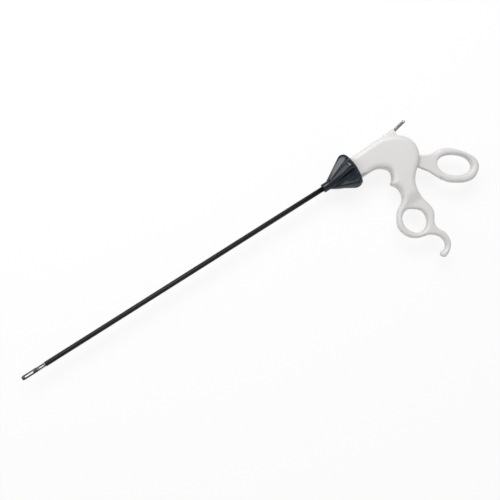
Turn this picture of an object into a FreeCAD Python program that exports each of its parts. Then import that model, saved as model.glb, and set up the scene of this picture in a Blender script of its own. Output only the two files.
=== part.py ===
import FreeCAD, Part
import math
import os

# A laparoscopic grasper, in millimetres. The shaft lies along X with its axis at y = 0, z = 0. The knob's nose
# face is at x = 0, the jaws point towards -X, +Y is the top of the handle and +Z is its left flank.

# shaft
shaft_reach = 340.0          # knob nose face to jaw tips
sleeve_d = 5.0
sleeve_wall = 0.3
sleeve_tuck = 3.0            # length of sleeve squeezed into the knob's nose
sleeve_tuck_d = 4.65
tube_wall = 0.4
tube_rear_x = 50.0
rod_d = 2.0
rod_guide_count = 4
rod_guide_length = 4.0
rod_play = 0.1               # radial, where the rod passes the clevis, the seal cap and the lever's gate
guide_play = 0.05            # radial, between the guides and the tube
tongue_round = 0.9           # of the rod's radius
tongue_length = 4.6          # behind the drive pin

# jaws and clevis
jaw_length = 18.4            # pivot pin to tip
jaw_d = 4.6
jaw_tip_height = 1.7
jaw_angle = 22.0             # opening of each jaw
jaw_gap = 0.1                # between the closed jaws
window_width = 1.3
window_near = 4.8            # from the pivot pin
window_far = 15.8
tooth_pitch = 1.0
tooth_depth = 0.3
teeth_near = 3.6
clevis_d = 4.65
clevis_gap = 2.9             # between the clevis arms
clevis_front_r = 1.9
clevis_slot_room = 1.5       # past the drive pin
clevis_neck_step = 0.3       # slot end to the sleeve
clevis_shoulder = 1.0        # length of the shoulder inside the sleeve
clevis_neck_length = 9.0
tang_thickness = 0.95
tang_wall = 0.42             # outside the cam slot
tang_hub_r = 1.75
side_play = 0.05             # beside each tang and beside the rod's tongue
jaw_pin_d = 1.4
drive_pin_d = 0.9
drive_pin_reach = 6.8        # pivot pin to drive pin with the jaws closed
slot_play = 0.05             # each side of the drive pin
pin_play = 0.03              # radial, in the jaws and in the lever bushing
pin_length = 4.6

# lever
lever_angle = 25.0
pivot_x = 80.0
pivot_drop = 8.5             # pivot pin below the shaft axis
pivot_pin_d = 4.0
bushing_d = 6.0
lever_head_width = 8.0
lever_head_top = 11.6        # from the pivot
lever_head_depth = 8.0       # across the handle
lever_hub_r = 6.0
arm_depth = 5.8
thumb_ring_depth = 11.0
thumb_ring_round = 1.9
ball_d = 5.0
ball_play = 0.1
lock_nut_width = 4.8         # across the flats
lock_nut_length = 2.0
lock_nut_gap = 5.0           # from the ball

# knob
knob_r = 18.4
knob_length = 36.0
knob_peak_x = 31.0
knob_rim_r = 13.8
knob_nose_r = 4.3
knob_nose_length = 6.5
knob_flutes = 5
flute_depth = 4.6
flute_swirl = 9.0            # degrees
knob_cavity_r = 12.4
knob_cavity_x = 20.0         # where the cavity starts behind the nose
spigot_r = 6.8
spigot_end_x = 39.5
hub_r = 5.5
hub_nose_r = 3.4
hub_step_x = 9.0
flange_r = 6.8
flange_x = 44.0
flange_width = 3.0
hub_tail_r = 4.5
hub_end_x = 53.0
washer_thickness = 0.5
seal_r = 3.2
seal_length = 1.8
key_length = 8.0
key_width = 2.0

# handle
body_depth = 17.2            # across both shells
ring_depth = 10.4            # at the finger ring and the hook
body_round = 2.0
shell_wall = 2.0
neck_start_x = 31.5
neck_r = 11.3
neck_end_x = 56.0            # where the neck's cone has cleared the flanks
journal_play = 0.05
slot_side_play = 0.3
cavity_start_x = 50.2
cavity_floor_y = -26.0
boss_r = 4.5
post_d = 3.2
post_root_d = 2.8            # the part held between the shells
post_shoulder = 0.5          # from the fin to the full diameter
post_groove_back = 4.4       # groove to the tip
post_groove_width = 0.8
post_groove_depth = 0.3
post_tip_round = 0.8
post_angle = 11.7            # above the shaft axis
post_exit = (87.2, 10.6)
post_length = 13.7           # beyond the fin
post_root = 14.5             # inside the handle
fin_depth = 6.4
screw_d = 2.2
screw_head_d = 4.2
screw_head_length = 1.8
screw_play = 0.2
screw_recess = 0.5
screw_boss_r = 2.7
slope_start_y = -46.0        # where the flank starts down to the finger ring
slope_end_y = -60.0
slot_clearance = 0.4
fin_round = 1.0
spring_thickness = 0.3
spring_width = 2.4
spring_play = 0.05           # between the strip and the rod

# values worked out from the sizes above
V = FreeCAD.Vector
sleeve_r = sleeve_d / 2
tube_r = sleeve_r - sleeve_wall
bore_r = tube_r - tube_wall
rod_r = rod_d / 2
half_body = body_depth / 2
half_ring = ring_depth / 2
half_lean = math.radians(lever_angle / 2)
pivot_y = -pivot_drop
stroke = 2 * pivot_drop * math.tan(half_lean)
ball_x = pivot_x + pivot_drop * math.tan(half_lean)
jaw_pivot_x = jaw_length - shaft_reach
drive_pin_x = jaw_pivot_x + drive_pin_reach
clevis_slot_end = drive_pin_x + clevis_slot_room
sleeve_end_x = clevis_slot_end + clevis_neck_step
tube_front_x = sleeve_end_x + clevis_shoulder
tang_inner = clevis_gap / 2 - side_play - tang_thickness
tongue_half = tang_inner - side_play


def block(x0, x1, y0, y1, z0, z1):
    return Part.makeBox(x1 - x0, y1 - y0, z1 - z0, V(x0, y0, z0))


def rod_along_x(x0, x1, r):
    return Part.makeCylinder(r, x1 - x0, V(x0, 0, 0), V(1, 0, 0))


def tube_along_x(x0, x1, outer, inner):
    return rod_along_x(x0, x1, outer).cut(rod_along_x(x0, x1, inner))


def rod_along_y(x, z, r, y0, y1):
    return Part.makeCylinder(r, y1 - y0, V(x, y0, z), V(0, 1, 0))


def rod_along_z(x, y, r, z0, z1):
    return Part.makeCylinder(r, z1 - z0, V(x, y, z0), V(0, 0, 1))


def turned_on_x(profile):
    """A solid of revolution about the shaft axis from (x, radius) corners."""
    corners = [V(x, r, 0) for x, r in profile]
    face = Part.Face(Part.makePolygon(corners + corners[:1]))
    return face.revolve(V(0, 0, 0), V(1, 0, 0), 360)


def smooth(points, closed=False):
    """One smooth edge in the XY plane through the points."""
    curve = Part.BSplineCurve()
    curve.interpolate([V(x, y, 0) for x, y in points], PeriodicFlag=closed)
    return curve.toShape()


def line(a, b):
    return Part.makeLine(V(a[0], a[1], 0), V(b[0], b[1], 0))


def arc(a, b, c):
    return Part.Arc(V(a[0], a[1], 0), V(b[0], b[1], 0), V(c[0], c[1], 0)).toShape()


def face_of(edges):
    return Part.Face(Part.Wire(edges))


def polygon(points):
    corners = [V(x, y, 0) for x, y in points]
    return Part.Face(Part.makePolygon(corners + corners[:1]))


def plate(face, z0, z1):
    lifted = face.translated(V(0, 0, z0))
    return lifted.extrude(V(0, 0, z1 - z0))


def inset(edges, distance):
    return face_of(edges).makeOffset2D(-distance).toNurbs().Faces[0]


def rounded_half(outside, hole, half, round_r, trim=None):
    """One half of a plate, from its seam at z = 0 up to its face, with the rims of that face rounded."""
    core = plate(inset(outside, round_r), 0, half - round_r)
    if hole:
        core = core.cut(plate(inset(hole, -round_r), -half, half))
    if trim:
        core = core.cut(trim)
    full = core.makeOffsetShape(round_r, 0.01, join=0).toNurbs()
    box = full.BoundBox
    return full.common(block(box.XMin - 1, box.XMax + 1, box.YMin - 1, box.YMax + 1, 0, half + 1)).Solids[0]


def upright(face, y0, y1):
    """A plate from a face drawn in x and z, extruded across the shaft in y."""
    stood = face.copy()
    stood.rotate(V(0, 0, 0), V(1, 0, 0), 90)
    stood.translate(V(0, y1, 0))
    return stood.extrude(V(0, y0 - y1, 0))


def mirrored(shape):
    return shape.mirror(V(0, 0, 0), V(0, 0, 1))


def solid_of(shape):
    return shape.removeSplitter().Solids[0]


def save(name, shape):
    shape.exportStep(f"parts/{name}.step")


def cam_points():
    """Drive pin centres in a jaw's own frame, closed to open, so that the jaw turns evenly."""
    centres = []
    for part_way in (0.0, 0.5, 1.0):
        reach = drive_pin_reach - part_way * stroke
        turn = math.radians(jaw_angle * part_way)
        centres.append(V(reach * math.cos(turn), reach * math.sin(turn), 0))
    return centres


def cam_band(half_width):
    """Outer arc, inner arc and end points of a round-ended band along the cam path."""
    path = cam_points()
    middle = Part.Arc(*path).toShape().Curve.Center
    outer = [p + (p - middle).normalize() * half_width for p in path]
    inner = [p - (p - middle).normalize() * half_width for p in path]
    ends = []
    for p, side in ((path[0], 1), (path[2], -1)):
        radial = (p - middle).normalize()
        ends.append(p + V(radial.y, -radial.x, 0) * half_width * side)
    return outer, inner, ends


def cam_slot():
    outer, inner, ends = cam_band(drive_pin_d / 2 + slot_play)
    edges = [
        Part.Arc(*outer).toShape(),
        Part.Arc(outer[2], ends[1], inner[2]).toShape(),
        Part.Arc(*inner[::-1]).toShape(),
        Part.Arc(inner[0], ends[0], outer[0]).toShape(),
    ]
    return face_of(edges)


def tang_face():
    outer, inner, ends = cam_band(drive_pin_d / 2 + slot_play + tang_wall)
    top = V(0, tang_hub_r, 0)
    bottom = V(0, -tang_hub_r, 0)
    edges = [
        Part.makeLine(top, outer[2]),
        Part.Arc(*outer[::-1]).toShape(),
        Part.Arc(outer[0], ends[0], inner[0]).toShape(),
        Part.makeLine(inner[0], bottom),
        Part.Arc(bottom, V(-tang_hub_r, 0, 0), top).toShape(),
    ]
    return face_of(edges)


def tooth_line(first):
    """The gripping line of one jaw in x and z, from the pivot out past the tip; first is the first tooth's side."""
    half = tooth_pitch / 2
    count = int((jaw_length - 1.2 - teeth_near) / half)
    points = [(0.0, jaw_gap / 2), (-teeth_near, jaw_gap / 2)]
    for i in range(count):
        height = first * tooth_depth / 2 * (-1) ** i
        points.append((-teeth_near - half * (i + 0.5), jaw_gap / 2 + height))
    points.append((-teeth_near - half * count, jaw_gap / 2))
    points.append((-jaw_length - 1, jaw_gap / 2))
    return points


def beak_blank():
    """The half round outside of a jaw, rounded at the tip, with its long window."""
    r = jaw_d / 2
    root = -clevis_front_r - 0.15
    shoulder = 2.2 - jaw_length
    plan = face_of(
        [
            line((root, -r), (shoulder, -r)),
            arc((shoulder, -r), (-jaw_length, 0), (shoulder, r)),
            line((shoulder, r), (root, r)),
            line((root, r), (root, -r)),
        ]
    )
    profile = face_of(
        [
            line((root, -r), (root, r)),
            line((root, r), (shoulder, jaw_tip_height)),
            arc((shoulder, jaw_tip_height), (0.55 - jaw_length, 0.72 * jaw_tip_height), (-jaw_length, 0)),
            line((-jaw_length, 0), (-jaw_length, -r)),
            line((-jaw_length, -r), (root, -r)),
        ]
    )
    blank = rod_along_x(-jaw_length, root, r)
    blank = blank.common(plate(plan, -r, r)).common(upright(profile, -r, r))
    half = window_width / 2
    far = half - window_far
    near = -window_near - half
    window = block(far, near, -half, half, -r, r)
    for x in (far, near):
        window = window.fuse(rod_along_z(x, 0, half, -r, r))
    return blank.cut(window)


def jaw(first):
    """One jaw with its pivot at the origin: the toothed beak, and a tang with the cam slot beside the rod."""
    y0 = tang_inner
    y1 = tang_inner + tang_thickness
    arm = block(-clevis_front_r - 3, 0, y0, y1, 0, tang_hub_r)
    r = jaw_d / 2
    above = polygon(tooth_line(first) + [(-jaw_length - 1, r + 1), (0, r + 1)])
    body = beak_blank().fuse(arm).common(upright(above, -r, r))
    body = body.fuse(upright(tang_face(), y0, y1))
    body = body.cut(upright(cam_slot(), y0 - 1, y1 + 1))
    return body.cut(rod_along_y(0, 0, jaw_pin_d / 2 + pin_play, y0 - 1, y1 + 1))


def make_jaws():
    upper = jaw(1)
    lower = jaw(-1)
    lower.rotate(V(0, 0, 0), V(1, 0, 0), 180)
    for name, shape in (("upper_jaw", upper), ("lower_jaw", lower)):
        shape.translate(V(jaw_pivot_x, 0, 0))
        save(name, solid_of(shape))


def make_clevis():
    """A turned end piece, slotted for the tangs, pressed into the tube, with guide slots for the drive pin."""
    r = clevis_d / 2
    shape = rod_along_x(jaw_pivot_x - r, sleeve_end_x, r)
    shape = shape.fuse(rod_along_x(sleeve_end_x, tube_front_x, tube_r))
    shape = shape.fuse(rod_along_x(tube_front_x, tube_front_x + clevis_neck_length, bore_r))
    shape = shape.cut(rod_along_x(-shaft_reach, 0, rod_r + rod_play))
    half = clevis_gap / 2
    shape = shape.cut(block(-shaft_reach, clevis_slot_end, -half, half, -r, r))
    front = block(jaw_pivot_x - r, jaw_pivot_x, -r, r, -r, r)
    front = front.cut(rod_along_y(jaw_pivot_x, 0, clevis_front_r, -r, r))
    shape = shape.cut(front)
    guide_r = drive_pin_d / 2 + slot_play
    x0 = drive_pin_x - stroke - slot_play
    x1 = drive_pin_x + slot_play
    guide = block(x0, x1, -r, r, -guide_r, guide_r)
    for x in (x0, x1):
        guide = guide.fuse(rod_along_y(x, 0, guide_r, -r, r))
    shape = shape.cut(guide)
    shape = shape.cut(rod_along_y(jaw_pivot_x, 0, jaw_pin_d / 2, -r, r))
    save("jaw_clevis", solid_of(shape))
    save("jaw_pivot_pin", rod_along_y(jaw_pivot_x, 0, jaw_pin_d / 2, -pin_length / 2, pin_length / 2))


def make_tube():
    save("outer_tube", tube_along_x(tube_front_x, tube_rear_x, tube_r, bore_r))
    sleeve = tube_along_x(sleeve_end_x, 0, sleeve_r, tube_r)
    sleeve = sleeve.fuse(tube_along_x(0, sleeve_tuck, sleeve_tuck_d / 2, tube_r))
    save("insulation_sleeve", solid_of(sleeve))


def make_rod():
    """The drive rod with its flat tongue, drive pin, guides, ball end and lock nut."""
    tongue_r = tongue_round * rod_r
    tongue_end = drive_pin_x + tongue_length
    rod_end = ball_x + 0.5
    shape = rod_along_x(drive_pin_x - rod_r, rod_end, rod_r)
    for y0, y1 in ((-rod_r, -tongue_half), (tongue_half, rod_r)):
        shape = shape.cut(block(drive_pin_x - 2, tongue_end, y0, y1, -rod_r, rod_r))
    front = block(drive_pin_x - 2, drive_pin_x, -rod_r, rod_r, -rod_r, rod_r)
    front = front.cut(rod_along_y(drive_pin_x, 0, tongue_r, -rod_r, rod_r))
    shape = shape.cut(front)
    shape = shape.cut(rod_along_y(drive_pin_x, 0, drive_pin_d / 2, -rod_r, rod_r))
    save("drive_rod", solid_of(shape))
    save("drive_pin", rod_along_y(drive_pin_x, 0, drive_pin_d / 2, -pin_length / 2, pin_length / 2))
    guides = []
    for i in range(rod_guide_count):
        x = sleeve_end_x * (i + 0.4) / rod_guide_count
        guides.append(tube_along_x(x, x + rod_guide_length, bore_r - guide_play, rod_r))
    save("rod_guides", Part.makeCompound(guides))
    ball = Part.makeSphere(ball_d / 2, V(ball_x, 0, 0))
    save("rod_ball", solid_of(ball.cut(rod_along_x(ball_x - ball_d, rod_end, rod_r))))
    corner = lock_nut_width / math.sqrt(3)
    angles = [math.radians(60 * i) for i in range(6)]
    hexagon = [V(0, corner * math.cos(a), corner * math.sin(a)) for a in angles]
    nut = Part.Face(Part.makePolygon(hexagon + hexagon[:1])).extrude(V(lock_nut_length, 0, 0))
    nut.translate(V(ball_x - ball_d / 2 - lock_nut_gap - lock_nut_length, 0, 0))
    save("ball_lock_nut", solid_of(nut.cut(rod_along_x(0, ball_x, rod_r))))


def knob_outline():
    """Half section of the knob: nose, cone, rounded rear, open cavity and the spigot that turns in the handle."""
    tuck_r = sleeve_tuck_d / 2
    cone_start = (knob_nose_length + 0.2, knob_nose_r + 0.5)
    cone_end = (knob_peak_x - 3, knob_r - 0.8)
    corners = [
        (knob_length, knob_rim_r),
        (knob_length, knob_cavity_r),
        (knob_length - 6, knob_cavity_r),
        (knob_cavity_x, spigot_r),
        (spigot_end_x, spigot_r),
        (spigot_end_x, hub_r),
        (hub_step_x, hub_r),
        (hub_step_x, hub_nose_r),
        (sleeve_tuck, hub_nose_r),
        (sleeve_tuck, tuck_r),
        (0, tuck_r),
        (0, knob_nose_r - 0.5),
        (0.5, knob_nose_r),
        (knob_nose_length, knob_nose_r),
        cone_start,
        cone_end,
    ]
    edges = [line(a, b) for a, b in zip(corners, corners[1:])]
    over = (knob_peak_x + 1.8, knob_r - 0.45)
    edges.append(arc(cone_end, over, corners[0]))
    return face_of(edges)


def knob_flute():
    """A widening scoop along the top of the cone, swirled a little."""
    start_r = 2.6
    end_r = 9.5
    start = V(knob_nose_length - 1, knob_nose_r + 0.6 + start_r, 0)
    end = V(knob_length + 2, knob_r - flute_depth + end_r, 0)
    run = end - start
    scoop = Part.makeCone(start_r, end_r, run.Length, start, run)
    scoop.rotate(V(0.6 * knob_length, 0, 0), V(0, 1, 0), flute_swirl)
    return scoop


def make_knob():
    shape = knob_outline().revolve(V(0, 0, 0), V(1, 0, 0), 360)
    for i in range(knob_flutes):
        scoop = knob_flute()
        scoop.rotate(V(0, 0, 0), V(1, 0, 0), 38 + 360 / knob_flutes * i)
        shape = shape.cut(scoop)
    half = key_width / 2
    key = block(hub_step_x + 2, hub_step_x + 2 + key_length, -half, half, hub_r - 1, hub_r + 1)
    shape = shape.cut(key)
    save("rotation_knob", solid_of(shape))
    save("hub_key", key)
    profile = [
        (sleeve_tuck, tube_r),
        (sleeve_tuck, hub_nose_r),
        (hub_step_x, hub_nose_r),
        (hub_step_x, hub_r),
        (flange_x, hub_r),
        (flange_x, flange_r),
        (flange_x + flange_width, flange_r),
        (flange_x + flange_width, hub_tail_r),
        (hub_end_x, hub_tail_r),
        (hub_end_x, seal_r),
        (tube_rear_x, seal_r),
        (tube_rear_x, tube_r),
    ]
    hub = turned_on_x(profile).cut(key)
    ring_r = 0.36
    ring_x = (spigot_end_x + flange_x - washer_thickness) / 2
    hub = hub.cut(tube_along_x(ring_x - 0.45, ring_x + 0.45, hub_r + 1, hub_r - 2 * ring_r + 0.02))
    save("tube_hub", solid_of(hub))
    ring = Part.makeTorus(hub_r - ring_r + 0.02, ring_r, V(ring_x, 0, 0), V(1, 0, 0))
    save("friction_ring", ring)
    seal_end = tube_rear_x + seal_length
    save("shaft_seal", tube_along_x(tube_rear_x, seal_end, seal_r, rod_r + 0.02))
    save("seal_cap", tube_along_x(seal_end, hub_end_x, seal_r, rod_r + rod_play))
    washers = []
    for x in (flange_x - washer_thickness, flange_x + flange_width):
        inner = (hub_r if x < flange_x else hub_tail_r) + 0.1
        washers.append(tube_along_x(x, x + washer_thickness, flange_r, inner))
    save("thrust_washers", Part.makeCompound(washers))


def swung(point, degrees):
    """A point of the lever after it opens by an angle about the pivot pin."""
    turn = math.radians(degrees)
    dx = point[0] - pivot_x
    dy = point[1] - pivot_y
    x = pivot_x + dx * math.cos(turn) - dy * math.sin(turn)
    y = pivot_y + dx * math.sin(turn) + dy * math.cos(turn)
    return x, y


arm_lower = [(74.6, -11.0), (81.4, -21.5), (88.4, -31.9), (95.2, -41.6), (98.3, -48.2), (101.5, -54.2)]
arm_upper = [(108.0, -27.0), (103.0, -26.1), (99.1, -24.4), (95.1, -21.9), (90.2, -15.5), (86.0, -9.0)]
thumb_outside = [
    (113.0, -27.0), (118.2, -28.7), (123.9, -32.7), (129.9, -38.7), (134.5, -44.8), (137.6, -50.8),
    (138.4, -56.0), (136.9, -61.0), (133.2, -65.0), (126.9, -68.1), (119.0, -67.4), (111.0, -63.0),
    (104.0, -57.2), (100.6, -50.0), (100.0, -41.0), (102.5, -32.6), (107.0, -28.2),
]
thumb_hole = [
    (109.2, -34.7), (117.0, -35.9), (123.1, -39.3), (128.6, -44.2), (132.2, -51.0), (131.2, -57.6),
    (125.8, -60.4), (118.2, -59.1), (112.0, -55.6), (107.0, -50.6), (104.2, -44.3), (104.8, -37.6),
]


def make_lever():
    hole = [smooth(thumb_hole, True)]
    half = thumb_ring_depth / 2
    ring = plate(face_of([smooth(thumb_outside, True)]), -half, half).cut(plate(face_of(hole), -half, half))
    rims = [edge for edge in ring.Edges if abs(abs(edge.CenterOfMass.z) - half) < 0.01]
    ring = ring.makeFillet(thumb_ring_round, rims)
    inside = [arm_lower[-1], (106.0, -50.0), (108.0, -33.0), arm_upper[0]]
    edges = [smooth(arm_lower)]
    edges += [line(a, b) for a, b in zip(inside, inside[1:])]
    edges += [smooth(arm_upper), line(arm_upper[-1], arm_lower[0])]
    arm = plate(face_of(edges), -arm_depth / 2, arm_depth / 2)
    arm = arm.cut(plate(face_of(hole), -half, half))
    half_head = lever_head_depth / 2
    hub = rod_along_z(pivot_x, pivot_y, lever_hub_r, -half_head, half_head)
    head = block(-lever_head_width / 2, lever_head_width / 2, 0, lever_head_top, -half_head, half_head)
    bottom = pivot_drop - ball_d / 2 - 0.5
    channel_r = ball_d / 2 + ball_play
    channel = Part.makeCylinder(channel_r, lever_head_top, V(0, bottom, 0), V(0, 1, 0))
    gate = block(-lever_head_width, 0, bottom + 0.4, lever_head_top + 1, -rod_r - 0.2, rod_r + 0.2)
    cutter = channel.fuse(gate)
    for shape in (head, cutter):
        shape.rotate(V(0, 0, 0), V(0, 0, 1), -lever_angle / 2)
        shape.translate(V(pivot_x, pivot_y, 0))
    shape = arm.fuse([ring, hub, head]).cut(cutter)
    shape = shape.cut(rod_along_z(pivot_x, pivot_y, bushing_d / 2, -half_head, half_head))
    save("thumb_lever", solid_of(shape))
    pin_r = pivot_pin_d / 2
    bushing = rod_along_z(pivot_x, pivot_y, bushing_d / 2, -half_head, half_head)
    save("lever_bushing", bushing.cut(rod_along_z(pivot_x, pivot_y, pin_r + pin_play, -half_head, half_head)))
    pin_half = half_body - shell_wall - 1.0
    save("lever_pivot_pin", rod_along_z(pivot_x, pivot_y, pin_r, -pin_half, pin_half))


handle_back = [
    (31.5, 11.3), (45.0, 11.4), (60.0, 11.9), (70.5, 11.8), (78.6, 9.4), (86.5, 4.9), (92.5, -0.6), (95.8, -8.0),
    (96.0, -15.5), (93.5, -22.4), (86.0, -30.8), (80.4, -36.2), (76.4, -43.0), (75.0, -52.0), (76.2, -61.0),
    (78.1, -69.5), (76.4, -77.5), (72.2, -84.5), (72.8, -90.7), (75.8, -96.0), (76.6, -102.5), (75.2, -108.5),
    (71.5, -113.2), (63.6, -117.2),
]
handle_front = [
    (65.1, -111.2), (69.0, -109.9), (71.3, -106.3), (71.2, -100.8), (67.1, -94.4), (60.6, -90.5), (53.6, -88.8),
    (47.2, -85.2), (42.3, -77.6), (41.4, -70.0), (44.6, -62.2), (50.8, -55.0), (58.4, -50.1), (61.2, -44.5),
    (61.0, -38.0), (58.6, -33.6), (56.9, -31.8),
]
handle_under = [
    (57.3, -30.7), (60.3, -28.5), (62.9, -24.0), (63.3, -19.6), (60.2, -15.3), (55.0, -12.0), (47.0, -10.8),
    (31.5, -10.8),
]
finger_hole = [
    (58.6, -60.0), (64.8, -63.8), (69.0, -69.4), (69.2, -75.6), (65.8, -82.0), (59.0, -84.9), (51.6, -81.8),
    (47.4, -75.0), (47.2, -67.6), (51.0, -61.4),
]
hook_tip = (61.9, -113.8)
fin_outline = [(74.0, 9.5), (75.6, 12.4), (79.2, 12.9), (86.0, 13.3), (87.2, 12.4), (87.2, 2.5), (78.0, 5.0)]
screw_places = [
    (66.0, 7.0, half_body), (58.5, -8.2, half_body), (89.3, -3.0, half_body), (69.0, -30.5, half_body),
    (68.5, -42.5, half_body), (73.6, -68.0, half_ring),
]


def handle_edges():
    return [
        smooth(handle_back),
        arc(handle_back[-1], hook_tip, handle_front[0]),
        smooth(handle_front),
        line(handle_front[-1], handle_under[0]),
        smooth(handle_under),
        line(handle_under[-1], handle_back[0]),
    ]


def flank_trim(level):
    """Takes a flank at a level down to the ring's level in one smooth slope below the grip."""
    step = half_body - half_ring
    run = (slope_start_y - slope_end_y) / 2
    middle = (slope_start_y - run, level - step / 2)
    low_y = -130.0
    edges = [
        arc((slope_start_y, level), (slope_start_y - 0.54 * run, level - step / 7), middle),
        arc(middle, (slope_end_y + 0.54 * run, level - step + step / 7), (slope_end_y, level - step)),
        line((slope_end_y, level - step), (low_y, level - step)),
        line((low_y, level - step), (low_y, level + 1)),
        line((low_y, level + 1), (slope_start_y, level + 1)),
        line((slope_start_y, level + 1), (slope_start_y, level)),
    ]
    face = face_of(edges)
    # the drawing's x and y become y and z
    face.rotate(V(0, 0, 0), V(1, 1, 1), 120)
    return face.extrude(V(150, 0, 0))


def handle_outside():
    """The left half's outside: body, finger ring, hook, round neck and the fin round the post."""
    trim = flank_trim(half_body - body_round)
    shape = rounded_half(handle_edges(), [smooth(finger_hole, True)], half_body, body_round, trim)
    cone_r = math.hypot(half_body, handle_back[2][1]) + 0.4
    corners = [(neck_start_x - 1, 0), (neck_start_x - 1, neck_r), (knob_length + 3, neck_r), (neck_end_x, cone_r),
               (neck_end_x, 0)]
    corner = block(neck_start_x - 1, neck_end_x, -cone_r, cone_r, 0, cone_r).cut(turned_on_x(corners))
    fin = [line(a, b) for a, b in zip(fin_outline, fin_outline[1:] + fin_outline[:1])]
    fin = rounded_half(fin, None, fin_depth / 2, fin_round)
    return shape.cut(corner).fuse(fin)


def post_point(along, above=0.0):
    """A point on the electrode post's line, a distance beyond the fin's rear face and above the line."""
    turn = math.radians(post_angle)
    x = post_exit[0] + along * math.cos(turn) - above * math.sin(turn)
    y = post_exit[1] + along * math.sin(turn) + above * math.cos(turn)
    return x, y


def post_rod(start, end, r):
    x0, y0 = post_point(start)
    x1, y1 = post_point(end)
    run = V(x1 - x0, y1 - y0, 0)
    return Part.makeCylinder(r, run.Length, V(x0, y0, 0), run)


def handle_inside():
    """Everything that is open inside the closed handle: gear space, lever slot, knob journal and flange groove."""
    half = half_body - shell_wall
    cavity = plate(inset(handle_edges(), shell_wall), -half, half)
    cavity = cavity.common(block(cavity_start_x, 100, cavity_floor_y, 20, -half, half))
    along = V(arm_lower[2][0] - arm_lower[0][0], arm_lower[2][1] - arm_lower[0][1], 0).normalize()
    low = (arm_lower[0][0] + along.y * slot_clearance, arm_lower[0][1] - along.x * slot_clearance)
    low_end = (low[0] + along.x * 40, low[1] + along.y * 40)
    high = swung(arm_upper[-1], lever_angle)
    high_end = swung(arm_upper[-3], lever_angle)
    high = (high[0], high[1] + slot_clearance)
    high_end = (high_end[0], high_end[1] + slot_clearance)
    slot_half = arm_depth / 2 + slot_side_play
    slot = plate(polygon([low, low_end, (110, low_end[1]), high_end, high]), -slot_half, slot_half)
    groove_start = flange_x - washer_thickness
    groove_end = flange_x + flange_width + washer_thickness
    bores = [
        (neck_start_x - 1, spigot_end_x + 0.3, spigot_r + journal_play),
        (spigot_end_x, groove_start, hub_r + journal_play),
        (groove_start, groove_end, flange_r + journal_play),
        (groove_end, cavity_start_x + 0.1, hub_tail_r + journal_play),
    ]
    space = cavity.fuse(slot)
    for x0, x1, r in bores:
        space = space.fuse(rod_along_x(x0, x1, r))
    return space.fuse(post_rod(-post_root, 1, post_root_d / 2))


def make_handle():
    outside = handle_outside()
    inside = handle_inside()
    half = half_body - shell_wall
    hub_face = lever_head_depth / 2 + 0.15
    pin_half = half_body - shell_wall - 1.0
    screws = []
    left = outside.cut(inside)
    right = mirrored(outside).cut(inside)
    left = left.fuse(rod_along_z(pivot_x, pivot_y, boss_r, hub_face, half))
    right = right.fuse(rod_along_z(pivot_x, pivot_y, boss_r, -half, -hub_face))
    pin = rod_along_z(pivot_x, pivot_y, pivot_pin_d / 2, -pin_half, pin_half)
    for x, y, flank in screw_places:
        screw_r = screw_d / 2
        head_z = screw_recess - flank
        neck_z = head_z + screw_head_length
        tip_z = flank - 3.0
        if y > cavity_floor_y:
            left = left.fuse(rod_along_z(x, y, screw_boss_r, 0, half))
            right = right.fuse(rod_along_z(x, y, screw_boss_r, -half, 0))
        left = left.cut(rod_along_z(x, y, screw_r, 0, tip_z))
        right = right.cut(rod_along_z(x, y, screw_r + screw_play, neck_z, 0))
        right = right.cut(rod_along_z(x, y, screw_head_d / 2 + screw_play, -half_body - 1, neck_z))
        screw = rod_along_z(x, y, screw_r, neck_z, tip_z).fuse(rod_along_z(x, y, screw_head_d / 2, head_z, neck_z))
        drive = block(x - 1.6, x + 1.6, y - 0.3, y + 0.3, head_z, head_z + 0.8)
        screws.append(solid_of(screw.cut(drive)))
    save("handle_shell_left", solid_of(left.cut(pin)))
    save("handle_shell_right", solid_of(right.cut(pin)))
    save("shell_screws", Part.makeCompound(screws))


def make_contact():
    """The electrode post with its groove and rounded end, and the spring strip from its root to the rod."""
    r = post_d / 2
    tip = V(*post_point(post_length), 0)
    post = post_rod(post_shoulder, post_length, r)
    post = post.makeFillet(post_tip_round, [edge for edge in post.Edges if (edge.CenterOfMass - tip).Length < 0.1])
    post = post.fuse(post_rod(-post_root, post_shoulder, post_root_d / 2))
    start = post_length - post_groove_back
    end = start + post_groove_width
    ring = post_rod(start, end, post_d).cut(post_rod(start, end, r - post_groove_depth))
    save("cautery_post", solid_of(post.cut(ring)))
    drop = -post_root_d / 2 - spring_thickness / 2
    path = [post_point(2 - post_root, drop), post_point(-post_root, drop), (64.0, 2.0)]
    low = rod_r + spring_play + spring_thickness / 2
    path += [(61.5, low), (60.0, low), (58.0, low + 0.8)]
    upper = []
    lower = []
    for i, (x, y) in enumerate(path):
        before = path[max(i - 1, 0)]
        after = path[min(i + 1, len(path) - 1)]
        along = V(after[0] - before[0], after[1] - before[1], 0).normalize()
        side = V(-along.y, along.x, 0) * spring_thickness / 2
        upper.append((x + side.x, y + side.y))
        lower.append((x - side.x, y - side.y))
    strip = plate(polygon(upper + lower[::-1]), -spring_width / 2, spring_width / 2)
    save("contact_spring", solid_of(strip))


os.makedirs("parts", exist_ok=True)
make_jaws()
make_clevis()
make_tube()
make_rod()
make_knob()
make_lever()
make_handle()
make_contact()
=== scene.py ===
import bmesh
import bpy
import math
from mathutils import Matrix, Vector
from mathutils.bvhtree import BVHTree


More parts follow.
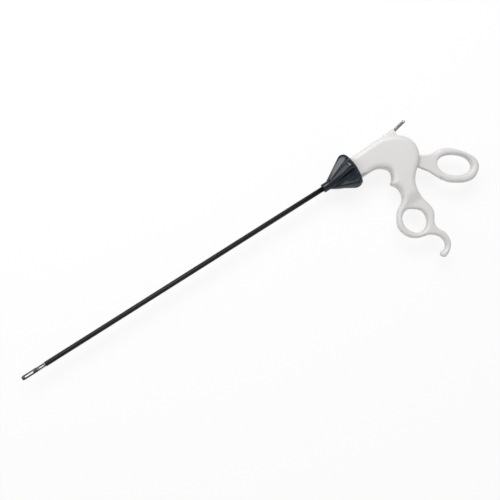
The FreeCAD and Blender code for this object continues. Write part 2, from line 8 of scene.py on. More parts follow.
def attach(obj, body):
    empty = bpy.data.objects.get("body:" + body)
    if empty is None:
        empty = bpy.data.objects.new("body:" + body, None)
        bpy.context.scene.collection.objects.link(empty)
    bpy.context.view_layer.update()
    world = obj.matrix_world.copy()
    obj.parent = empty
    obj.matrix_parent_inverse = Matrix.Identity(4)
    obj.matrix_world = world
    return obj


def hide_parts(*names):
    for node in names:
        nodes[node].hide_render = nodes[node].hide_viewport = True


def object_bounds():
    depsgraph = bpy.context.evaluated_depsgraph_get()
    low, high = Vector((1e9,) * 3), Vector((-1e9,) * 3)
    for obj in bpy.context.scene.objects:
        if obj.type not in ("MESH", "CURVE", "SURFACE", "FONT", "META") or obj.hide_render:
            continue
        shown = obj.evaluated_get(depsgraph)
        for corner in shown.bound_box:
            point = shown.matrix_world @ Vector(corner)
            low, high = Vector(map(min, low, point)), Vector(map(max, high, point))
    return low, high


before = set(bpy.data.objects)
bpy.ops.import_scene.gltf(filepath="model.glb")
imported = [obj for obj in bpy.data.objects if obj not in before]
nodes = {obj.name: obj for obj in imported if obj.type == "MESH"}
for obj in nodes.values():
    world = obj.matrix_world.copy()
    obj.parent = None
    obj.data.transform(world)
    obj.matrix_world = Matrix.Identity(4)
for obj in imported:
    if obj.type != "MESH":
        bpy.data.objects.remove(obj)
cadLow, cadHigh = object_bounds()
mm = 0.001
print("frame loaded:", len(nodes), "nodes")


# camera, floor and light

viewSetup = {
    "centre": (-0.0900, -0.0122),   # the point of the shaft's plane in the middle of the picture
    "distance": 0.6,
    "turn": -32.29,                 # degrees, lays the shaft along the picture's rising diagonal
    "width": 0.478,                 # metres across the picture, at the shaft
}


def makeCamera(setup):
    camera = bpy.data.cameras.new("camera")
    camera.lens = camera.sensor_width * setup["distance"] / setup["width"]
    holder = bpy.data.objects.new("camera", camera)
    holder.location = (*setup["centre"], setup["distance"])
    holder.rotation_euler = (0, 0, math.radians(setup["turn"]))
    bpy.context.scene.collection.objects.link(holder)
    bpy.context.scene.camera = holder


class Signal:
    # a node's output that takes part in ordinary arithmetic
    def __init__(self, tree, socket):
        self.tree = tree
        self.socket = socket

    def worked(self, operation, first, second=0.0, third=0.0):
        return self.tree.node("ShaderNodeMath", {"operation": operation}, {0: first, 1: second, 2: third})

    def __add__(self, other):
        return self.worked("ADD", self, other)

    def __sub__(self, other):
        return self.worked("SUBTRACT", self, other)

    def __rsub__(self, other):
        return self.worked("SUBTRACT", other, self)

    def __mul__(self, other):
        return self.worked("MULTIPLY", self, other)

    def __truediv__(self, other):
        return self.worked("DIVIDE", self, other)

    def __rtruediv__(self, other):
        return self.worked("DIVIDE", other, self)

    def __mod__(self, other):
        return self.worked("FLOORED_MODULO", self, other)

    def __abs__(self):
        return self.worked("ABSOLUTE", self)

    def __lt__(self, other):
        return self.worked("LESS_THAN", self, other)

    def __gt__(self, other):
        return self.worked("GREATER_THAN", self, other)

    def called(self, operation, second=0.0, third=0.0):
        return self.worked(operation, self, second, third)

    def ramped(self, low, high):
        # 0 below low, 1 above high, smooth between
        settings = {"interpolation_type": "SMOOTHSTEP"}
        inputs = {"Value": self, "From Min": low, "From Max": high}
        return self.tree.node("ShaderNodeMapRange", settings, inputs)

    __radd__ = __add__
    __rmul__ = __mul__


class Tree:
    # one node tree, of a material or of Geometry Nodes
    def __init__(self, nodeTree):
        self.nodeTree = nodeTree

    def node(self, kind, settings=None, inputs=None, output=0):
        made = self.nodeTree.nodes.new(kind)
        for name, value in (settings or {}).items():
            setattr(made, name, value)
        for name, value in (inputs or {}).items():
            if isinstance(value, Signal):
                self.nodeTree.links.new(value.socket, made.inputs[name])
            else:
                made.inputs[name].default_value = value
        return Signal(self, made.outputs[output])


class Finish(Tree):
    # a material: one Principled shader, with patterns placed by Object coordinates in metres
    def __init__(self, name, **plain):
        self.material = bpy.data.materials.new(name)
        self.material.use_nodes = True
        super().__init__(self.material.node_tree)
        self.nodeTree.nodes.clear()
        self.shader = self.nodeTree.nodes.new("ShaderNodeBsdfPrincipled")
        self.end = self.nodeTree.nodes.new("ShaderNodeOutputMaterial")
        self.nodeTree.links.new(self.shader.outputs[0], self.end.inputs[0])
        for socket, value in plain.items():
            self.shader.inputs[socket.replace("_", " ")].default_value = value
        self.place = self.node("ShaderNodeTexCoord", output="Object")

    def feed(self, socket, signal):
        self.nodeTree.links.new(signal.socket, self.shader.inputs[socket])

    def moved(self, scale, turn=0):
        # the place, scaled along X, Y and Z and then turned about Z by degrees
        return self.node("ShaderNodeMapping", None, {0: self.place, 2: (0, 0, math.radians(turn)), 3: scale})

    def noise(self, scale, detail=2.0, rough=0.5, place=None):
        inputs = {"Vector": place or self.place, "Scale": scale, "Detail": detail, "Roughness": rough}
        return self.node("ShaderNodeTexNoise", None, inputs)

    def mixed(self, mask, low, high):
        low, high = [(*colour, 1.0) if isinstance(colour, tuple) else colour for colour in (low, high)]
        return self.node("ShaderNodeMix", {"data_type": "RGBA"}, {0: mask, 6: low, 7: high}, 2)

    def bump(self, height, depth, before=None):
        inputs = {"Height": height, "Distance": depth, "Strength": 1.0}
        if before:
            inputs["Normal"] = before
        return self.node("ShaderNodeBump", None, inputs)


floorSetup = {
    "size": 6.0,
    "colour": (0.93, 0.93, 0.93),
    "roughness": 0.9,
    "seenWhite": 0.86,   # how much of it is plain white to the camera and in reflections
    "drop": 0.0002,
}
skySetup = {"colour": (0.97, 0.98, 1.0), "strength": 0.36}
lampSetup = {
    "top": {"towards": (-0.1, 0.75, 0.95), "away": 0.95, "size": (0.75, 0.45), "power": 6.6},
    "left": {"towards": (-0.95, 0.15, 0.75), "away": 0.9, "size": (0.35, 0.6), "power": 1.7},
    "low": {"towards": (0.5, -0.9, 0.5), "away": 1.0, "size": (0.6, 0.3), "power": 0.7},
}


def makeFloor(setup):
    half = setup["size"] / 2
    level = cadLow.z - setup["drop"]
    corners = [(-half, -half, level), (half, -half, level), (half, half, level), (-half, half, level)]
    mesh = bpy.data.meshes.new("floor")
    mesh.from_pydata(corners, [], [(0, 1, 2, 3)])
    floor = bpy.data.objects.new("floor", mesh)
    bpy.context.scene.collection.objects.link(floor)
    look = Finish("floorWhite", Base_Color=(*setup["colour"], 1), Roughness=setup["roughness"])
    paths = look.node("ShaderNodeLightPath").socket.node
    seen = Signal(look, paths.outputs["Is Camera Ray"])
    for name in ("Is Glossy Ray", "Is Transmission Ray"):
        seen = seen.called("MAXIMUM", Signal(look, paths.outputs[name]))
    lit = Signal(look, look.shader.outputs[0])
    white = look.node("ShaderNodeEmission", None, {"Color": (1, 1, 1, 1), "Strength": 1.0})
    mixed = look.node("ShaderNodeMixShader", None, {0: seen * setup["seenWhite"], 1: lit, 2: white})
    look.nodeTree.links.new(mixed.socket, look.end.inputs[0])
    mesh.materials.append(look.material)


def makeLight(sky, lamps):
    world = bpy.data.worlds.new("studio")
    world.use_nodes = True
    back = world.node_tree.nodes["Background"]
    back.inputs["Color"].default_value = (*sky["colour"], 1)
    back.inputs["Strength"].default_value = sky["strength"]
    bpy.context.scene.world = world
    turn = Matrix.Rotation(math.radians(viewSetup["turn"]), 3, "Z")
    middle = Vector((*viewSetup["centre"], 0))
    for name, lamp in lamps.items():
        light = bpy.data.lights.new(name, "AREA")
        light.shape = "RECTANGLE"
        light.size, light.size_y = lamp["size"]
        light.energy = lamp["power"]
        towards = turn @ Vector(lamp["towards"]).normalized()
        holder = bpy.data.objects.new(name, light)
        holder.location = middle + towards * lamp["away"]
        holder.rotation_euler = (-towards).to_track_quat("-Z", "Y").to_euler()
        bpy.context.scene.collection.objects.link(holder)


makeCamera(viewSetup)
makeFloor(floorSetup)
makeLight(skySetup, lampSetup)
bpy.context.scene.view_settings.view_transform = "Standard"
print("camera, floor and light made")


# finishes: a noise is given by its scale per metre, its detail and its roughness, and depths are in metres

plasticSetup = {
    "white": (0.72, 0.705, 0.70),
    "warm": (0.70, 0.675, 0.645),
    "warm share": 0.5,
    "cloud": (28, 3),
    "cloud ramp": (0.35, 0.7),
    "scuffed": (0.60, 0.585, 0.57),
    "scuffed share": 0.18,
    "scuff": (90, 4, 0.65),
    "scuff stretch": (1, 3.2, 1),
    "scuff turn": 35,
    "scuff ramp": (0.60, 0.72),
    "grain": (1 / 0.0006, 3, 0.6),
    "grain share": 0.35,
    "ripple": (260, 2),
    "ripple share": 0.65,
    "depth": 0.000012,
    "roughness": (0.30, 0.10, 0.14),   # plain, added by clouds and by scuffs
    "seam": (0.28, 0.27, 0.26),
    "seam share": 0.75,
    "seam half": (0.000055, 0.000176),   # from the middle plane, fading between the two
    "seam depth": 0.00012,
}


def whitePlastic(name, seam):
    setup = plasticSetup
    look = Finish(name, IOR=1.5)
    cloud = look.noise(*setup["cloud"])
    place = look.moved(setup["scuff stretch"], setup["scuff turn"])
    scuff = look.noise(*setup["scuff"], place=place).ramped(*setup["scuff ramp"])
    warmth = cloud.ramped(*setup["cloud ramp"]) * setup["warm share"]
    colour = look.mixed(warmth, setup["white"], setup["warm"])
    colour = look.mixed(scuff * setup["scuffed share"], colour, setup["scuffed"])
    grain = look.noise(*setup["grain"]) * setup["grain share"]
    ripple = look.noise(*setup["ripple"]) * setup["ripple share"]
    normal = look.bump(grain + ripple, setup["depth"])
    if seam:
        level = look.node("ShaderNodeSeparateXYZ", None, {0: look.place}, 2)
        line = 1 - abs(level).ramped(*setup["seam half"])
        colour = look.mixed(line * setup["seam share"], colour, setup["seam"])
        normal = look.bump(1 - line, setup["seam depth"], normal)
    plain, cloudy, scuffed = setup["roughness"]
    look.feed("Base Color", colour)
    look.feed("Roughness", plain + cloudy * cloud + scuffed * scuff)
    look.feed("Normal", normal)
    return look.material


knobSetup = {
    "navy": (0.0055, 0.0105, 0.018),
    "dust": (0.022, 0.030, 0.042),
    "dust share": 0.25,
    "cloud": (60, 3),
    "speck": (2200, 2),
    "speck ramp": (0.66, 0.74),
    "rub": (150, 4, 0.7),
    "rub stretch": (0.3, 1, 1),
    "rub ramp": (0.58, 0.75),
    "roughness": (0.13, 0.07, 0.14),   # plain, added by clouds and by rubbing
    "coat": (0.14, 0.12),              # plain, taken off by rubbing
    "ripple": (420, 3),
    "depth": 0.00002,
}


def knobPlastic():
    setup = knobSetup
    look = Finish("navyPlastic", IOR=1.38, Coat_Roughness=0.08)
    cloud = look.noise(*setup["cloud"])
    speck = look.noise(*setup["speck"]).ramped(*setup["speck ramp"])
    rub = look.noise(*setup["rub"], place=look.moved(setup["rub stretch"])).ramped(*setup["rub ramp"])
    colour = look.mixed(cloud * setup["dust share"], setup["navy"], setup["dust"])
    colour = look.mixed(speck * setup["dust share"], colour, setup["dust"])
    plain, cloudy, rubbed = setup["roughness"]
    coat, worn = setup["coat"]
    look.feed("Base Color", colour)
    look.feed("Roughness", plain + cloudy * cloud + rubbed * rub)
    look.feed("Coat Weight", coat - worn * rub)
    look.feed("Normal", look.bump(look.noise(*setup["ripple"]), setup["depth"]))
    return look.material


sleeveSetup = {
    "black": (0.005, 0.0048, 0.0048),
    "dull": (0.016, 0.015, 0.0145),
    "dull share": 0.6,
    "drawn": (900, 3, 0.6),
    "drawn stretch": (0.02, 1, 1),
    "drawn relief": 0.7,
    "blotch": (120, 3, 0.55),
    "blotch stretch": (0.25, 1, 1),
    "blotch relief": 0.3,
    "roughness": (0.24, 0.12, 0.06),   # plain, added by blotches and by draw lines
    "depth": 0.00003,
}


def sleevePlastic():
    # black shrink tubing: faint lengthwise draw lines and a soft satin
    setup = sleeveSetup
    look = Finish("blackSleeve", IOR=1.4)
    drawn = look.noise(*setup["drawn"], place=look.moved(setup["drawn stretch"]))
    blotch = look.noise(*setup["blotch"], place=look.moved(setup["blotch stretch"]))
    plain, blotched, lined = setup["roughness"]
    relief = drawn * setup["drawn relief"] + blotch * setup["blotch relief"]
    look.feed("Base Color", look.mixed(drawn * setup["dull share"], setup["black"], setup["dull"]))
    look.feed("Roughness", plain + blotched * blotch + lined * drawn)
    look.feed("Normal", look.bump(relief, setup["depth"]))
    return look.material


steelSetup = {
    "grain": (1500, 3, 0.6),
    "grain share": 0.5,
    "stain": (240, 3, 0.6),
    "stain ramp": (0.4, 0.75),
    "stain share": 0.35,
    "darkest": 0.62,           # of the tint
    "rougher": (0.12, 0.10),   # added by grain and by stains
    "depth": 0.000012,
}


def steel(name, tint, stretch, rough, turned=0):
    # stretch is the scale of the grain's noise along X, Y and Z, and turned its turn about Z, in degrees
    setup = steelSetup
    look = Finish(name, Metallic=1.0)
    grain = look.noise(*setup["grain"], place=look.moved(stretch, -turned))
    stain = look.noise(*setup["stain"])
    dark = tuple(setup["darkest"] * channel for channel in tint)
    shade = grain * setup["grain share"] + stain.ramped(*setup["stain ramp"]) * setup["stain share"]
    grained, stained = setup["rougher"]
    look.feed("Base Color", look.mixed(shade, tint, dark))
    look.feed("Roughness", rough + grained * grain + stained * stain)
    look.feed("Normal", look.bump(grain, setup["depth"]))
    return look.material


brassSetup = {
    "bright": (0.72, 0.54, 0.26),
    "tarnished": (0.45, 0.31, 0.14),
    "tarnished share": 0.5,
    "grain": (1600, 2),
    "grain stretch": (6, 0.4, 0.4),
    "tarnish": (300, 3),
    "tarnish ramp": (0.45, 0.7),
    "roughness": (0.24, 0.12, 0.1),   # plain, added by grain and by tarnish
    "depth": 0.00001,
}


def brass():
    setup = brassSetup
    look = Finish("turnedBrass", Metallic=1.0)
    grain = look.noise(*setup["grain"], place=look.moved(setup["grain stretch"]))
    tarnish = look.noise(*setup["tarnish"]).ramped(*setup["tarnish ramp"])
    plain, grained, tarnished = setup["roughness"]
    look.feed("Base Color", look.mixed(tarnish * setup["tarnished share"], setup["bright"], setup["tarnished"]))
    look.feed("Roughness", plain + grained * grain + tarnished * tarnish)
    look.feed("Normal", look.bump(grain, setup["depth"]))
    return look.material


greySetup = {"cloud": (500, 3), "cloud roughness": 0.12, "ripple": (1800, 2), "depth": 0.00001}


def softGrey(name, colour, other, rough):
    # nylon and silicone: matte, a little cloudy
    setup = greySetup
    look = Finish(name, IOR=1.45)
    cloud = look.noise(*setup["cloud"])
    look.feed("Base Color", look.mixed(cloud, colour, other))
    look.feed("Roughness", rough + setup["cloud roughness"] * cloud)
    look.feed("Normal", look.bump(look.noise(*setup["ripple"]), setup["depth"]))
    return look.material


finishes = {
    "shell": whitePlastic("whiteShell", True),
    "lever": whitePlastic("whiteLever", False),
    "knob": knobPlastic(),
    "sleeve": sleevePlastic(),
    # the jaws' tint is far darker than the other steels: painted shade, standing in for the dark surroundings
    # that the polished jaws reflect
    "jaw": steel("jawSteel", (0.12, 0.12, 0.124), (0.3, 1, 1), 0.20),
    "clevis": steel("clevisSteel", (0.55, 0.55, 0.555), (5, 0.3, 0.3), 0.24),
    "post": steel("postSteel", (0.46, 0.46, 0.47), (5, 0.3, 0.3), 0.14, 11.7),
    "pin": steel("pinSteel", (0.58, 0.58, 0.59), (1, 1, 1), 0.22),
    "rod": steel("rodSteel", (0.55, 0.55, 0.56), (0.3, 1, 1), 0.25),
    "brass": brass(),
    "nylon": softGrey("nylon", (0.75, 0.74, 0.70), (0.68, 0.67, 0.62), 0.42),
    "silicone": softGrey("silicone", (0.32, 0.32, 0.33), (0.25, 0.25, 0.26), 0.55),
}
nodeFinishes = {
    "handle_shell_left": "shell",
    "handle_shell_right": "shell",
    "shell_screws": "pin",
    "lever_pivot_pin": "pin",
    "cautery_post": "post",
    "contact_spring": "brass",
    "thrust_washers": "nylon",
    "rotation_knob": "knob",
    "tube_hub": "brass",
    "hub_key": "pin",
    "friction_ring": "silicone",
    "outer_tube": "rod",
    "insulation_sleeve": "sleeve",
    "shaft_seal": "silicone",
    "seal_cap": "nylon",
    "jaw_clevis": "clevis",
    "jaw_pivot_pin": "pin",
    "drive_rod": "rod",
    "rod_guides": "nylon",
    "drive_pin": "pin",
    "rod_ball": "pin",
    "ball_lock_nut": "brass",
    "upper_jaw": "jaw",
    "lower_jaw": "jaw",
    "thumb_lever": "lever",
    "lever_bushing": "brass",
}
for node, finish in nodeFinishes.items():
    nodes[node].data.materials.clear()
    nodes[node].data.materials.append(finishes[finish])
print("finishes on", len(nodeFinishes), "nodes")


# smooth copies of the moulded and turned nodes

smoothSetup = {
    # body, slot, the angle in degrees from which an edge is sharp, and the rounding
    "handle_shell_left": ("handle", "white_plastic", 38, "shell"),
    "handle_shell_right": ("handle", "white_plastic", 38, "shell"),
    "thumb_lever": ("lever", "white_plastic", 38, "lever"),
    "insulation_sleeve": ("shaft", "black_sleeve", 30, None),
    "cautery_post": ("handle", "steel", 30, None),
    "jaw_clevis": ("shaft", "steel", 30, None),
    "upper_jaw": ("jaw_upper", "jaw_steel", 28, None),
    "lower_jaw": ("jaw_lower", "jaw_steel", 28, None),
}
softSetup = {
    # how a moulding's rims are rounded: flank height, width and depth of the rounding, changing along an axis,
    # and the level that an outline's wall has to reach before the change and after it
    "shell": {
        "walls of": "handle_shell_left",
        "walls above": (3.3 * mm, 1.0 * mm),
        "axis": 1,
        "change": (-46.0 * mm, -60.0 * mm),
        "first": (8.6 * mm, 5.5 * mm, 3.6 * mm),
        "last": (5.2 * mm, 2.9 * mm, 2.4 * mm),
        "start x": 33.0 * mm,
        "cell": 1.0 * mm,
    },
    "lever": {
        "walls of": "thumb_lever",
        "walls above": (1.0 * mm, 1.0 * mm),
        "axis": 0,
        "change": (99.0 * mm, 113.0 * mm),
        "first": (2.9 * mm, 1.8 * mm, 1.4 * mm),
        "last": (5.5 * mm, 3.3 * mm, 3.1 * mm),
        "start x": 87.0 * mm,
        "cell": 0.7 * mm,
    },
}
meshSetup = {
    "weld": 0.002 * mm,
    "sliver": 0.001 * mm,
    "large face": 0.3 * mm * mm,
    "standing proud": 0.01 * mm,
    "least rise": 0.1 * mm,       # of a wall over the level of "walls above"
    "beside": 1.0 * mm,           # where the space beside a wall is tried
    "greatest lean": 0.05,        # of a wall's normal
    "strip reach": 20.0 * mm,     # above and below the middle plane
}


def changed(setup, spot):
    # 0 where the first values hold, 1 where the last do
    start, stop = setup["change"]
    part = min(1.0, max(0.0, (spot[setup["axis"]] - start) / (stop - start)))
    return part * part * (3 - 2 * part)


def outlineWalls(setup):
    # the upright walls round a moulding's outline, as tall strips from which to measure
    made = bmesh.new()
    made.from_mesh(nodes[setup["walls of"]].data)
    whole = BVHTree.FromBMesh(made)
    reach = meshSetup["strip reach"]
    corners = []
    for face in made.faces:
        centre = face.calc_center_median()
        level = setup["walls above"][changed(setup, centre) > 0]
        top = max(corner.co.z for corner in face.verts)
        upright = abs(face.normal.z) <= meshSetup["greatest lean"]
        if not upright or top < level + meshSetup["least rise"] or centre.x < setup["start x"]:
            continue
        beside = centre + face.normal * meshSetup["beside"]
        if whole.ray_cast(Vector((beside.x, beside.y, level)), Vector((0, 0, 1)))[0] is not None:
            continue
        along = Vector((-face.normal.y, face.normal.x, 0))
        ends = sorted((corner.co for corner in face.verts), key=along.dot)
        for end, side in ((ends[0], -1), (ends[-1], -1), (ends[-1], 1), (ends[0], 1)):
            corners.append((end.x, end.y, side * reach))
    made.free()
    return BVHTree.FromPolygons(corners, [tuple(range(i, i + 4)) for i in range(0, len(corners), 4)])


def softTop(setup, walls, spot):
    # the highest that a rounded moulding reaches over a place
    part = changed(setup, spot)
    level, width, depth = [a + (b - a) * part for a, b in zip(setup["first"], setup["last"])]
    away = walls.find_nearest(Vector((spot.x, spot.y, 0)))[3]
    inward = max(0.0, 1 - away / width)
    return level - depth * (1 - math.sqrt(1 - inward * inward))


def soften(made, setup, walls):
    # cuts the large faces that stand over the rounding into cells, then brings every corner down to it
    def above(corner):
        inside = corner.co.x > setup["start x"]
        return inside and abs(corner.co.z) > softTop(setup, walls, corner.co) + meshSetup["standing proud"]

    sliver = meshSetup["sliver"]
    sized = [face for face in made.faces if face.calc_area() > meshSetup["large face"]]
    large = [face for face in sized if any(above(corner) for corner in face.verts)]
    pieces = list(dict.fromkeys(part for face in large for part in (face, *face.edges, *face.verts)))
    for axis in (0, 1):
        places = [corner.co[axis] for face in large for corner in face.verts]
        low, high = min(places), max(places)
        normal = Vector((axis == 0, axis == 1, 0))
        for i in range(1, int((high - low) / setup["cell"]) + 1):
            plane = normal * (low + i * setup["cell"])
            cut = bmesh.ops.bisect_plane(made, geom=pieces, dist=sliver, plane_co=plane, plane_no=normal)
            pieces = cut["geom"]
        large = [part for part in pieces if isinstance(part, bmesh.types.BMFace)]
    for corner in made.verts:
        if corner.co.x > setup["start x"]:
            top = softTop(setup, walls, corner.co)
            corner.co.z = max(-top, min(top, corner.co.z))
    bmesh.ops.triangulate(made, faces=[face for face in made.faces if len(face.verts) > 3])
    bmesh.ops.dissolve_degenerate(made, edges=made.edges, dist=sliver)


def shade(mesh, sharpAngle):
    mesh.shade_smooth()
    mesh.set_sharp_from_angle(angle=math.radians(sharpAngle))


def smoothCopy(node, body, slot, sharpAngle, softness):
    mesh = nodes[node].data.copy()
    mesh.name = node + "_smooth"
    made = bmesh.new()
    made.from_mesh(mesh)
    bmesh.ops.remove_doubles(made, verts=made.verts, dist=meshSetup["weld"])
    bmesh.ops.dissolve_degenerate(made, edges=made.edges, dist=meshSetup["sliver"])
    if softness:
        soften(made, softSetup[softness], walls[softness])
    made.to_mesh(mesh)
    made.free()
    shade(mesh, sharpAngle)
    piece = bpy.data.objects.new(node + "_smooth", mesh)
    bpy.context.scene.collection.objects.link(piece)
    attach(piece, body)
    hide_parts(node)
    print(mesh.name, len(mesh.polygons), "faces")


walls = {name: outlineWalls(setup) for name, setup in softSetup.items()}
for node, choices in smoothSetup.items():
    smoothCopy(node, *choices)
print("smooth copies made")


# pieces made by Geometry Nodes

class Recipe(Tree):
    # a Geometry Nodes tree with named inputs
    def __init__(self, name, sizes):
        group = bpy.data.node_groups.new(name, "GeometryNodeTree")
        super().__init__(group)
        group.interface.new_socket("Geometry", in_out="INPUT", socket_type="NodeSocketGeometry")
        group.interface.new_socket("Geometry", in_out="OUTPUT", socket_type="NodeSocketGeometry")
        for label, value in sizes.items():
            kind = "NodeSocketInt" if isinstance(value, int) else "NodeSocketFloat"
            group.interface.new_socket(label, in_out="INPUT", socket_type=kind)
        group.interface.new_socket("material", in_out="INPUT", socket_type="NodeSocketMaterial")
        self.entry = group.nodes.new("NodeGroupInput")
        self.exit = group.nodes.new("NodeGroupOutput")

    def given(self, label):
        return Signal(self, self.entry.outputs[label])

    def finished(self, geometry):
        whole = self.node("GeometryNodeRealizeInstances", None, {0: geometry})
        inputs = {"Geometry": whole, "Material": self.given("material")}
        painted = self.node("GeometryNodeSetMaterial", None, inputs)
        self.nodeTree.links.new(painted.socket, self.exit.inputs[0])


def grown(name, source, recipe, sizes, material):
    # runs a tree on a mesh and keeps the plain mesh that comes out
    piece = bpy.data.objects.new(name, source)
    bpy.context.scene.collection.objects.link(piece)
    modifier = piece.modifiers.new("build", "NODES")
    modifier.node_group = recipe.nodeTree
    values = dict(sizes, material=material)
    for item in recipe.nodeTree.interface.items_tree:
        if item.in_out == "INPUT" and item.name in values:
            modifier[item.identifier] = values[item.name]
    graph = bpy.context.evaluated_depsgraph_get()
    mesh = bpy.data.meshes.new_from_object(piece.evaluated_get(graph), depsgraph=graph)
    piece.modifiers.clear()
    piece.data = mesh
    mesh.name = name
    return piece


knobShape = {
    "columns": 360,
    "weld": 0.000002,
    "flutes": 5,
    "first ridge": math.radians(16),   # from +Z towards +Y
    "flute root x": 6.64 * mm,
    "flute root radius": 5.16 * mm,
    "flute slope": 0.27,
    "scoop radius": 2.6 * mm,
    "scoop growth": 0.2,
    "flute steepness": 0.68,
    "uncut radius": 50.0 * mm,
    "swirl": 0.2,
    "swirl centre": 21.6 * mm,
    "least swirl radius": 4.0 * mm,
    "ridge softness": 1.2 * mm,
}
knobProfile = {
    # x and radius in millimetres: nose, cone, rear rim, then back along the cavity and the bore
    "nose": [(0.0, 2.4), (0.0, 3.7), (0.15, 4.05), (0.5, 4.3), (3.0, 4.3), (6.0, 4.3), (6.6, 4.45),
             (7.1, 4.85)],
    "cone": ((7.6, 5.2), (28.0, 17.6), 26),
    "shoulder": ((28.0, 17.6), (32.8, 17.95), (36.0, 13.8), 26),
    "inside": [(36.0, 12.5), (35.8, 12.4), (30.0, 12.4), (20.0, 6.8), (39.5, 6.8), (39.5, 5.5), (9.0, 5.5),
               (9.0, 3.4), (3.0, 3.4), (3.0, 2.4), (0.0, 2.4)],
    "sharp angle": 64,
}


def arcThrough(a, b, c, count):
    # points on the circle through three points, from a to c
    ax, ay = a
    bx, by = b
    cx, cy = c
    double = 2 * (ax * (by - cy) + bx * (cy - ay) + cx * (ay - by))
    aa, bb, cc = ax * ax + ay * ay, bx * bx + by * by, cx * cx + cy * cy
    middleX = (aa * (by - cy) + bb * (cy - ay) + cc * (ay - by)) / double
    middleY = (aa * (cx - bx) + bb * (ax - cx) + cc * (bx - ax)) / double
    start = math.atan2(ay - middleY, ax - middleX)
    end = math.atan2(cy - middleY, cx - middleX)
    radius = math.hypot(ax - middleX, ay - middleY)
    angles = [start + (end - start) * i / count for i in range(1, count + 1)]
    return [(middleX + radius * math.cos(angle), middleY + radius * math.sin(angle)) for angle in angles]


def knobRows(profile):
    # x, radius and 1 where the flutes cut, row by row round the section
    rows = [(x, r, 1.0) for x, r in profile["nose"]]
    (x0, r0), (x1, r1), count = profile["cone"]
    rows += [(x0 + (x1 - x0) * i / count, r0 + (r1 - r0) * i / count, 1.0) for i in range(count + 1)]
    rows += [(x, r, 1.0) for x, r in arcThrough(*profile["shoulder"])]
    rows += [(x, r, 0.0) for x, r in profile["inside"]]
    return rows


def knobRecipe():
    recipe = Recipe("flutedKnob", knobShape)
    given = recipe.given
    rowCount = recipe.node("GeometryNodeAttributeDomainSize", {"component": "MESH"}, {0: given("Geometry")})
    columns = given("columns")
    grid = recipe.node("GeometryNodeMeshGrid", None, {"Vertices X": columns, "Vertices Y": rowCount})
    index = recipe.node("GeometryNodeInputIndex")
    row = index % rowCount
    column = (index / rowCount).called("FLOOR")
    spot = recipe.node("GeometryNodeInputPosition")
    sample = {"data_type": "FLOAT_VECTOR", "domain": "POINT"}
    fromRow = {"Geometry": given("Geometry"), "Value": spot, "Index": row}
    at = recipe.node("GeometryNodeSampleIndex", sample, fromRow)
    parts = recipe.node("ShaderNodeSeparateXYZ", None, {0: at}).socket.node
    x, radius, fluted = [Signal(recipe, output) for output in parts.outputs]
    angle = column * (2 * math.pi) / (columns - 1)
    pitch = 2 * math.pi / given("flutes")
    leanRadius = radius.called("MAXIMUM", given("least swirl radius"))
    lean = (x - given("swirl centre")) * given("swirl") / leanRadius
    fromRidge = angle - given("first ridge") - lean
    # the angle from the middle of the nearest flute
    off = (fromRidge % pitch) - pitch * 0.5
    bottom = given("flute root radius") + (x - given("flute root x")) * given("flute slope")
    scoop = given("scoop radius") + (x - given("flute root x")).called("MAXIMUM", 0.0) * given("scoop growth")
    centre = bottom + scoop
    across = centre * off.called("SINE")
    hollow = bottom + across * across * given("flute steepness") / scoop
    cut = x > given("flute root x") - given("ridge softness")
    wall = hollow * cut + given("uncut radius") * (1 - cut)
    soft = radius.called("SMOOTH_MIN", wall, given("ridge softness"))
    final = soft * (fluted > 0.5) + radius * (fluted < 0.5)
    onCircle = {0: x, 1: final * angle.called("SINE"), 2: final * angle.called("COSINE")}
    place = recipe.node("ShaderNodeCombineXYZ", None, onCircle)
    shaped = recipe.node("GeometryNodeSetPosition", None, {"Geometry": grid, "Position": place})
    closed = recipe.node("GeometryNodeMergeByDistance", None, {"Geometry": shaped, "Distance": given("weld")})
    recipe.finished(closed)
    return recipe


def outward(mesh):
    # a closed mesh whose enclosed volume comes out negative is inside out
    made = bmesh.new()
    made.from_mesh(mesh)
    bmesh.ops.recalc_face_normals(made, faces=made.faces)
    if made.calc_volume(signed=True) < 0:
        bmesh.ops.reverse_faces(made, faces=made.faces)
    made.to_mesh(mesh)
    made.free()


def makeKnob():
    rows = knobRows(knobProfile)
    line = bpy.data.meshes.new("knobLine")
    line.from_pydata([(x * mm, r * mm, flag) for x, r, flag in rows], [], [])
    knob = grown("rotation_knob_fluted", line, knobRecipe(), knobShape, finishes["knob"])
    outward(knob.data)
    shade(knob.data, knobProfile["sharp angle"])
    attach(knob, "shaft")
    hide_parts("rotation_knob")
    print("knob:", len(knob.data.polygons), "faces")


makeKnob()


screwShape = {
    "facets": 48,
    "head radius": 2.05 * mm,
    "rim taper": 0.18 * mm,
    "head height": 1.3 * mm,
    "recess reach": 2.4 * mm,
    "recess width": 0.5 * mm,
    "recess depth": 0.8 * mm,
    "shank radius": 1.05 * mm,
    "shank spare": 3.35 * mm,   # what the two flanks leave of its length
    "shank start": 0.95,        # of the head's height, so that it overlaps the head
    "seed": 4,
}
screwPlaces = {
    # in millimetres: how deep a head sinks in, and for each screw x, y and the flank's distance from the middle
    "sink": 0.95,
    "body": [(66.0, 7.0, 8.6), (58.5, -8.2, 8.6), (89.3, -3.0, 8.6), (69.0, -30.5, 8.6), (68.5, -42.5, 8.6)],
    "ring": [(73.6, -68.0, 5.2)],
    "sharp angle": 35,
}


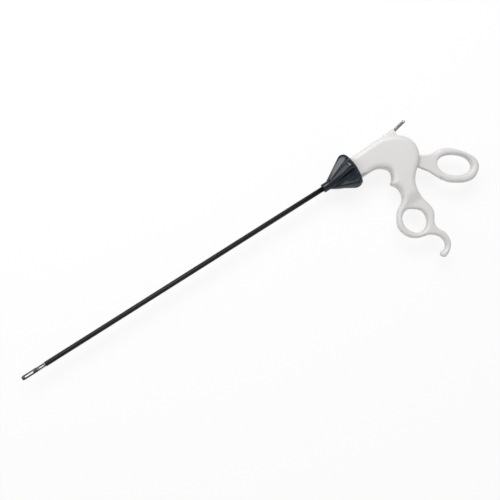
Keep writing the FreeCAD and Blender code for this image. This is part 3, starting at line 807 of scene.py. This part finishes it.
def screwRecipe():
    recipe = Recipe("crossScrews", screwShape)
    given = recipe.given
    deep = given("recess depth") * 2
    bars = []
    for x, y in (("recess reach", "recess width"), ("recess width", "recess reach")):
        size = recipe.node("ShaderNodeCombineXYZ", None, {0: given(x), 1: given(y), 2: deep})
        bars.append(recipe.node("GeometryNodeMeshCube", None, {"Size": size}))
    narrow = given("head radius") - given("rim taper")
    sizes = {"Vertices": given("facets"), "Radius Top": given("head radius"), "Radius Bottom": narrow}
    blank = recipe.node("GeometryNodeMeshCone", None, dict(sizes, Depth=given("head height")))
    without = {"Mesh 1": blank, "Mesh 2": bars[0]}
    head = recipe.node("GeometryNodeMeshBoolean", {"operation": "DIFFERENCE"}, without)
    recipe.nodeTree.links.new(bars[1].socket, head.socket.node.inputs["Mesh 2"])
    chance = recipe.node("FunctionNodeRandomValue", {"data_type": "FLOAT"}, {"Seed": given("seed")}, 1)
    turn = recipe.node("ShaderNodeCombineXYZ", None, {2: chance * math.pi})
    onPoints = {"Points": given("Geometry"), "Instance": head, "Rotation": turn}
    heads = recipe.node("GeometryNodeInstanceOnPoints", None, onPoints)
    spot = recipe.node("GeometryNodeInputPosition")
    height = recipe.node("ShaderNodeSeparateXYZ", None, {0: spot}, 2)
    reach = abs(height) * 2 - given("shank spare")
    radius = given("shank radius")
    sizes = {"Vertices": given("facets"), "Radius Top": radius, "Radius Bottom": radius, "Depth": 1.0}
    shank = recipe.node("GeometryNodeMeshCone", None, sizes)
    stretch = recipe.node("ShaderNodeCombineXYZ", None, {0: 1.0, 1: 1.0, 2: reach})
    onPoints = {"Points": given("Geometry"), "Instance": shank, "Scale": stretch}
    shanks = recipe.node("GeometryNodeInstanceOnPoints", None, onPoints)
    under = recipe.node("ShaderNodeCombineXYZ", None, {2: given("head height") * given("shank start")})
    sunk = recipe.node("GeometryNodeTranslateInstances", None, {"Instances": shanks, "Translation": under})
    both = recipe.node("GeometryNodeJoinGeometry", None, {0: heads})
    recipe.nodeTree.links.new(sunk.socket, both.socket.node.inputs[0])
    recipe.finished(both)
    return recipe


def makeScrews():
    places = screwPlaces["body"] + screwPlaces["ring"]
    points = bpy.data.meshes.new("screwPoints")
    points.from_pydata([(x * mm, y * mm, (screwPlaces["sink"] - flank) * mm) for x, y, flank in places], [], [])
    screws = grown("shell_screws_cross", points, screwRecipe(), screwShape, finishes["pin"])
    outward(screws.data)
    shade(screws.data, screwPlaces["sharp angle"])
    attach(screws, "handle")
    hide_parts("shell_screws")
    print("screws:", len(screws.data.polygons), "faces")


makeScrews()

print("pieces ready")
